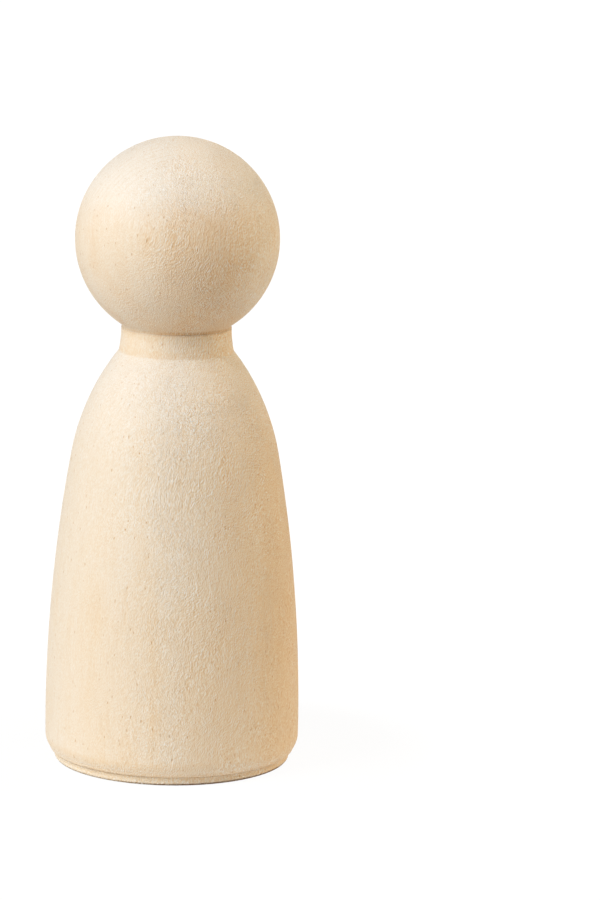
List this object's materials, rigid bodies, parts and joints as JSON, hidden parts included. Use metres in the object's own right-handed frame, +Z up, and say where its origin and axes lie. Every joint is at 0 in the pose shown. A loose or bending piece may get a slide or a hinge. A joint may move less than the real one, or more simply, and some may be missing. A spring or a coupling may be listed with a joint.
{
  "type": "peg doll",
  "caption": "Plain turned wooden peg doll: a ball head on a short collar over a bell-shaped body that stands on a thin foot disc.",
  "frame": {"origin": "middle of the foot disc's underside, where the doll stands", "axes": "+Z up along the turning axis, through the middle of the head; the doll is the same all the way round, and the pictured side faces -Y"},
  "size_m": [0.0364, 0.0364, 0.0898],
  "materials": {
    "head_wood": "raw pale close-grained wood, sanded, unvarnished",
    "dowel_wood": "raw hardwood dowel pin, fluted",
    "body_wood": "raw pale close-grained wood, sanded, unvarnished",
    "foot_wood": "raw pale wood with a rougher, granular edge"
  },
  "bodies": {
    "root": {"head": "head_wood", "neck_dowel": "dowel_wood", "body": "body_wood", "foot_disc": "foot_wood"}
  },
  "joints": []
}
